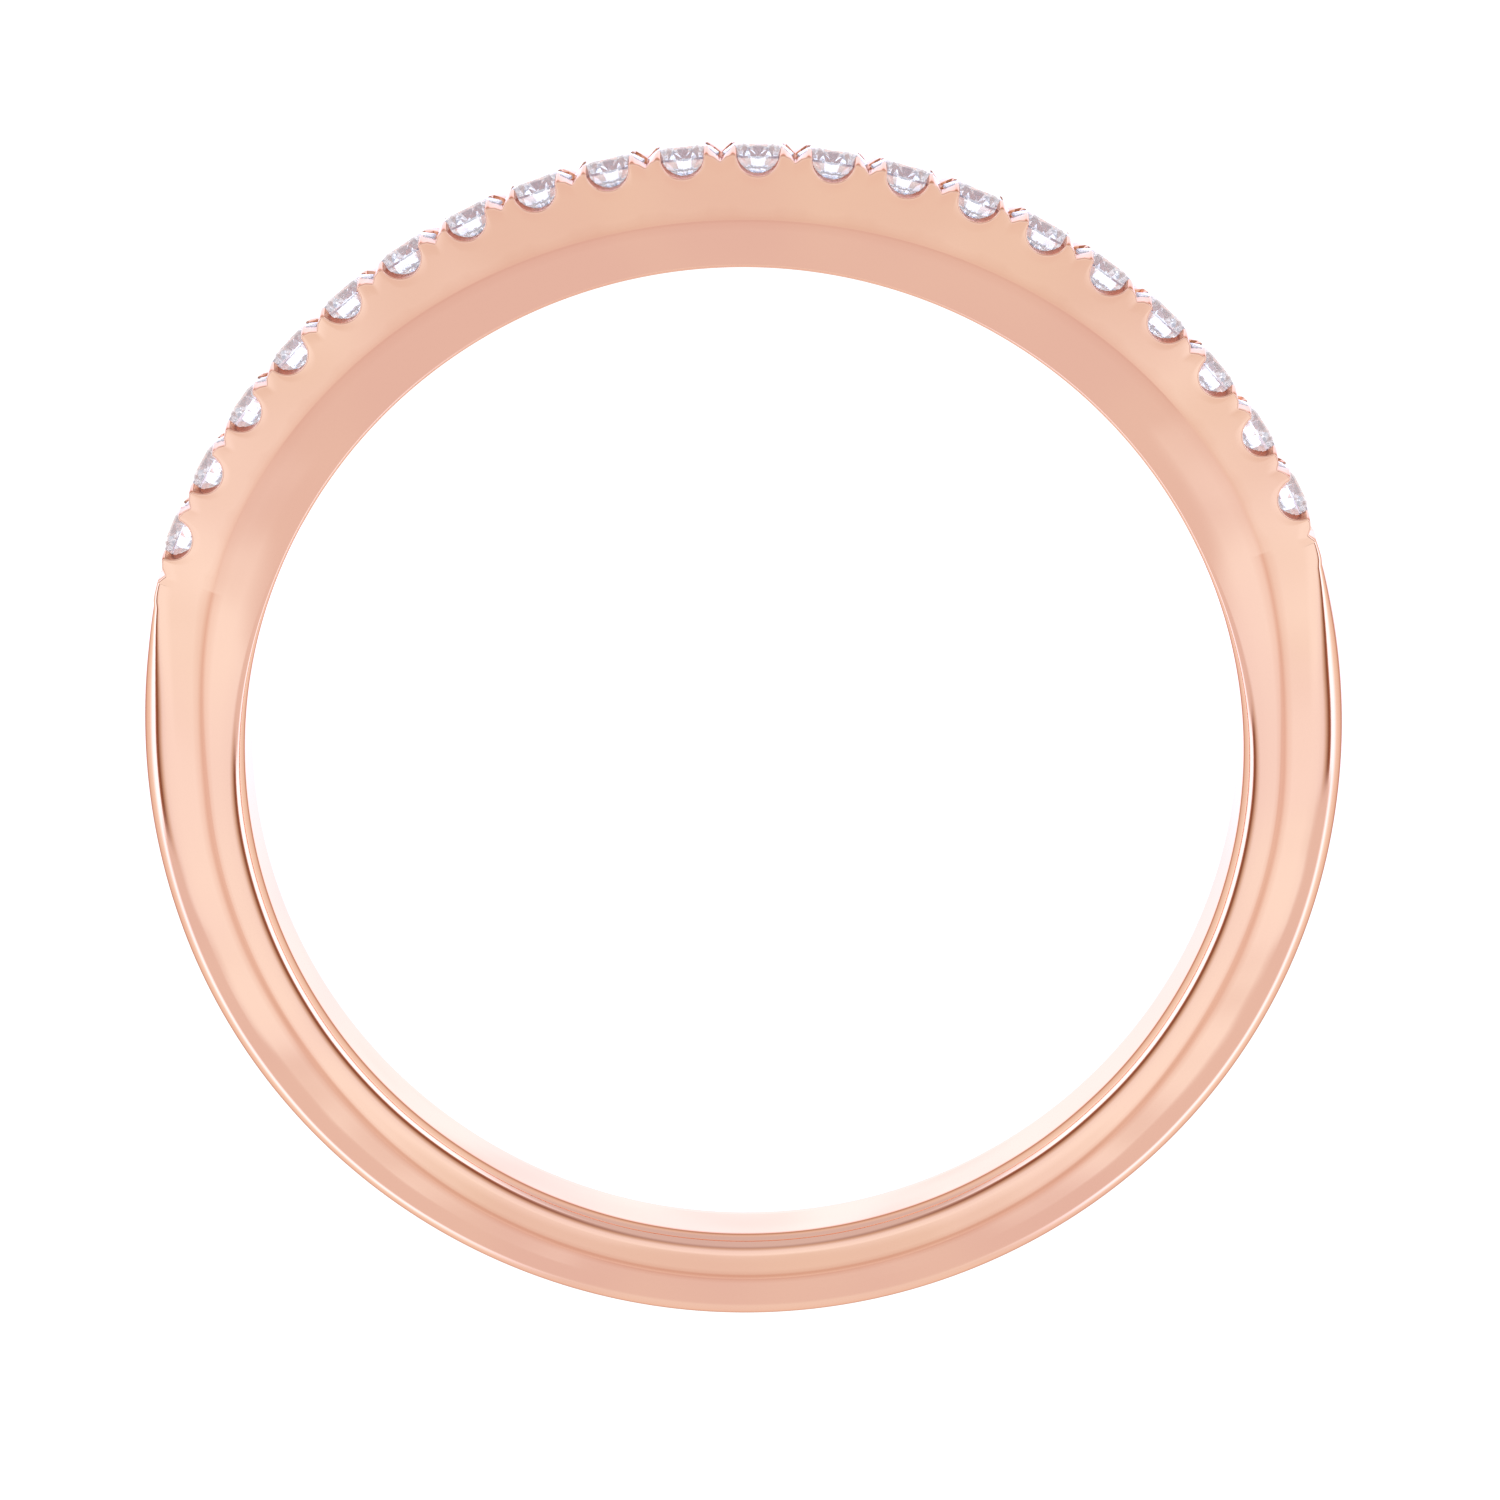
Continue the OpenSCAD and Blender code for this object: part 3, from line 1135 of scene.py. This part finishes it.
        corners = (line, place), (line, beside), (after, beside), (after, place)
        quads = np.stack([number(a, b) for a, b in corners], axis=-1)
        keep = np.ones((lines, section), bool)
        hole_i, hole_j = self.hole_half
        middle = cell + np.arange(count) * 2 * cell
        columns = (middle[:, None] + np.arange(-hole_i, hole_i)[None, :]).ravel()
        seat_middle = section // 2
        for centre in (0, seat_middle):
            rows = (centre + np.arange(-hole_j, hole_j)) % section
            keep[np.ix_(columns, rows)] = False
        # the hole's edge, walked once round in grid steps
        along_i, along_j = np.arange(-hole_i, hole_i), np.arange(-hole_j, hole_j)
        edge_i, edge_j = np.full(2 * hole_j, hole_i), np.full(2 * hole_i, hole_j)
        side_i = np.concatenate([along_i, edge_i, -along_i, -edge_i])
        side_j = np.concatenate([-edge_j, along_j, edge_j, -along_j])
        walk_i = middle[:, None] + side_i[None, :]
        upper = number(walk_i, seat_middle + side_j[None, :])
        lower = number(walk_i, -side_j[None, :])
        tube = np.stack([upper, lower, np.roll(lower, -1, axis=1), np.roll(upper, -1, axis=1)], axis=-1)
        return np.concatenate([quads[keep], tube.reshape(-1, 4)])

    def build(self) -> bpy.types.Object:
        """Builds the band's mesh.

        Returns:
            The new piece.
        """
        claws, notches = self._hand_heights()
        cells = self._cells(claws, notches)
        head = self._light_holes(self._head_section(cells), cells["base"])
        count, lines, section, _ = head.shape
        right = self._shank_section(self._shank(notches[-1]))
        left = self._shank_section(self._shank(notches[0])) * OTHER_SIDE
        row = count * lines
        grid = np.concatenate([head.reshape(row, section, 3), right, left[-2:0:-1]])
        # painted shade: the crease lines and the row's recesses and claws, carried to the gold by the
        # hollow attribute
        shade = np.zeros(grid.shape[:2]) + self._crease_shades(section)
        deep = self._recess_shades(cells, section).reshape(row, section)
        shade[:row] = np.maximum(deep, shade[:row] * self.head_crease_share)
        faces = self._faces(len(grid), section)
        log.info("section lines: %s", ", ".join(f"{part.label} {part.count}" for part in SectionLines))
        return add_piece("band_polished", grid.reshape(-1, 3) * MM, faces, self.sharp_over, shade.ravel())

    def _crease_shades(self, section: int) -> Array:
        """How much painted shade each section line takes for lying in the crease.

        Args:
            section: Lines round the section.

        Returns:
            One number a section line.
        """
        first = SectionLines.LAND.count + SectionLines.BORE_EDGE.count + len(self.lean_shares)
        last = first + SectionLines.CREASE.count - 1
        from_land = np.minimum(np.arange(section), section - np.arange(section))
        shade = np.zeros(section)
        shade[(from_land >= first) & (from_land <= last)] = self.crease_shade
        beside = (from_land == first - 1) | (from_land == last + 1)
        shade[beside] = self.crease_shade * self.crease_side_share
        return shade

    def _recess_shades(self, cells: dict[str, Array], section: int) -> Array:
        """How much painted shade each point of the row takes.

        It is 1 in a scallop and under a stone, less in a notch and on a claw, and 0 on the open metal.

        Args:
            cells: What _cells gives.
            section: Lines round the section.

        Returns:
            stones × lines × section lines.
        """
        s = self.sizes
        seat = SectionLines.SEAT.count
        ridge_end = seat + SectionLines.RIDGE.count
        from_middle = np.abs(np.arange(section) - section // 2).astype(float)
        inside = smooth_rise(from_middle, *(ridge_end + edge for edge in self.shade_lines))
        below = smooth_rise(cells["h"], *(s.girdle_r + edge for edge in self.shade_above))
        in_scallop = smooth_rise(np.abs(cells["u"]), *self.shade_across)
        depth = below * (in_scallop + self.notch_shade * (1 - in_scallop))
        depth = np.maximum(depth, self.claw_shade)
        deep = depth[:, :, None] * inside[None, None, :]
        seats = smooth_rise(from_middle, *(seat + edge for edge in self.seat_shade_lines))
        return np.maximum(deep, seats[None, None, :] * np.ones_like(deep))

    def dress(self, piece: bpy.types.Object) -> None:
        """Gives the band its finish and its place in the frame.

        Args:
            piece: What build made.
        """
        piece.data.materials.append(self.finish.material())
        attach(piece, "root")
        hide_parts("band")


# ---------------------------------------------------------------- the stones


@dataclass
class StoneRow:
    """The twenty round brilliants, whose cut is the CAD model's own."""

    finish: Brilliant = field(default_factory=Brilliant)
    count: int = RingSizes.count

    def dress(self, nodes: dict[str, bpy.types.Object]) -> list[str]:
        """Gives every stone its finish.

        Args:
            nodes: The frame's nodes by name.

        Returns:
            The names of the stones that were dressed.
        """
        material = self.finish.material()
        names = [f"stone_{n:02d}" for n in range(1, self.count + 1)]
        for name in names:
            mesh = nodes[name].data
            mesh.materials.clear()
            mesh.materials.append(material)
        return names


# ---------------------------------------------------------------- the studio


@dataclass
class Studio:
    """A plain pale floor, a soft bright surround and the camera.

    Angles are in degrees and lengths in millimetres, apart from the camera's reach, in metres. bands are
    pairs of an angle from straight behind the ring and the surround's colour there. A zone is the
    stretch of heights over which a tone comes in, and low_in_front is a stretch of angles from behind.
    No colour passes peak.
    """

    elevation: float = 13.95
    azimuth: float = 0.46
    roll: float = 2.15
    distance: float = 74.6
    lens: float = 107.5
    sensor: float = 36.0
    reach: Span = (0.001, 20.0)
    shift: tuple[float, float] = (0.003933, 0.0034)
    floor_radius: float = 3000.0
    floor_sides: int = 96
    floor_gap: float = 0.02
    floor_glow: float = 1.15
    peak: float = 2.2
    bands: tuple[tuple[float, Colour], ...] = (
        (0, (1.50, 1.62, 2.08)),
        (19, (1.50, 1.62, 2.08)),
        (28, (0.54, 0.32, 0.21)),
        (48, (0.88, 0.76, 0.72)),
        (78, (1.00, 0.94, 0.92)),
        (96, (1.42, 1.60, 2.04)),
        (110, (1.42, 1.60, 2.04)),
        (115, (0.40, 0.18, 0.11)),
        (124, (0.24, 0.09, 0.05)),
        (135, (0.66, 0.50, 0.42)),
        (148, (0.98, 0.95, 1.02)),
        (164, (1.06, 1.07, 1.13)),
        (172, (0.89, 0.81, 0.79)),
        (180, (0.87, 0.76, 0.74)),
    )
    low_tone: Colour = (0.85, 0.73, 0.74)
    low_zone: Span = (-20.5, -16.5)
    low_in_front: Span = (94.0, 110.0)
    under_tone: Colour = (0.92, 0.84, 0.84)
    under_zone: Span = (-74.0, -58.0)
    ceiling_tone: Colour = (0.74, 0.66, 0.70)
    ceiling_zone: Span = (40.0, 62.0)

    def build_floor(self, lowest: float) -> bpy.types.Object:
        """A round pale floor just under the ring.

        Args:
            lowest: Height of the ring's lowest point, in metres.

        Returns:
            The floor.
        """
        turn = np.linspace(0, 2 * math.pi, self.floor_sides + 1)[:-1]
        rim = np.stack([np.cos(turn), np.sin(turn), np.zeros_like(turn)], axis=-1) * self.floor_radius * MM
        rim[:, 2] = lowest - self.floor_gap * MM
        mesh = bpy.data.meshes.new("floor")
        mesh.from_pydata(rim.tolist(), [], [tuple(range(len(rim)))])
        floor = bpy.data.objects.new("floor", mesh)
        bpy.context.scene.collection.objects.link(floor)
        material, nodes = new_material("floor_white")
        glow = nodes.add("ShaderNodeEmission", {}, {"Color": WHITE, "Strength": self.floor_glow})
        nodes.add("ShaderNodeOutputMaterial", {}, {"Surface": glow})
        mesh.materials.append(material)
        floor.visible_glossy = floor.visible_diffuse = floor.visible_transmission = False
        floor.visible_shadow = False
        return floor

    def _of_peak(self, colour: Colour) -> Colour:
        """A colour as a share of the peak, with its alpha."""
        return (*(part / self.peak for part in colour), 1.0)

    def build_surround(self) -> None:
        """The soft surround that lights the ring and shows in its polish.

        Bands of light lie about the bore's axis. From straight behind to straight in front they are
        white, narrow and copper, ever paler up to white at the side, dark just in front of that, and
        pale again. Over them lie a rosy zone low in front, a paler one underneath and the ceiling.
        """
        scene = bpy.context.scene
        world = bpy.data.worlds.new("surround")
        scene.world = world
        world.use_nodes = True
        nodes = Nodes(world.node_tree)
        way = nodes.add("ShaderNodeTexCoord", output="Generated")
        split = nodes.add("ShaderNodeSeparateXYZ", {}, [way])
        back = Val(nodes, split.socket.node.outputs["Y"])
        up = Val(nodes, split.socket.node.outputs["Z"])
        from_back = back.arc_cosine()
        height = up.arc_sine()
        tone = nodes.add(
            "ShaderNodeValToRGB",
            {"stops": [(angle / 180, self._of_peak(colour)) for angle, colour in self.bands]},
            [from_back / math.pi],
        )
        low = (1 - height.step(*np.radians(self.low_zone))) * from_back.step(*np.radians(self.low_in_front))
        under = 1 - height.step(*np.radians(self.under_zone))
        ceiling = height.step(*np.radians(self.ceiling_zone))
        tone = nodes.blend(low, tone, self._of_peak(self.low_tone))
        tone = nodes.blend(under, tone, self._of_peak(self.under_tone))
        tone = nodes.blend(ceiling, tone, self._of_peak(self.ceiling_tone))
        glow = nodes.add("ShaderNodeBackground", {}, {"Color": tone, "Strength": self.peak})
        nodes.add("ShaderNodeOutputWorld", {}, {"Surface": glow})
        scene.view_settings.view_transform = "Standard"

    def build_camera(self) -> bpy.types.Object:
        """The camera, in front of the ring and a little above it, turned slightly about the bore's axis.

        Returns:
            The camera.
        """
        data = bpy.data.cameras.new("camera")
        data.lens, data.sensor_width = self.lens, self.sensor
        data.clip_start, data.clip_end = self.reach
        data.shift_x, data.shift_y = self.shift
        camera = bpy.data.objects.new("camera", data)
        elevation, azimuth = math.radians(self.elevation), math.radians(self.azimuth)
        level = math.cos(elevation)
        back = Vector((math.sin(azimuth) * level, -math.cos(azimuth) * level, math.sin(elevation)))
        look = (-back).to_track_quat("-Z", "Y").to_matrix().to_4x4()
        stand = Matrix.Translation(back * self.distance * MM) @ look
        turn = Matrix.Rotation(math.radians(self.roll), 4, "Y")
        camera.matrix_world = turn @ stand
        bpy.context.scene.collection.objects.link(camera)
        bpy.context.scene.camera = camera
        return camera


# ---------------------------------------------------------------- everything in order


def main() -> None:
    """Builds the ring's looks in order and reports each piece."""
    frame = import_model()
    band = Band()
    piece = band.build()
    band.dress(piece)
    log.info("band_polished: %d points, %d faces", len(piece.data.vertices), len(piece.data.polygons))
    stones = StoneRow()
    log.info("stones dressed: %s", ", ".join(stones.dress(frame["nodes"])))
    studio = Studio()
    studio.build_floor(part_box("band")[0].z)
    studio.build_surround()
    studio.build_camera()


if __name__ == "__main__":
    main()
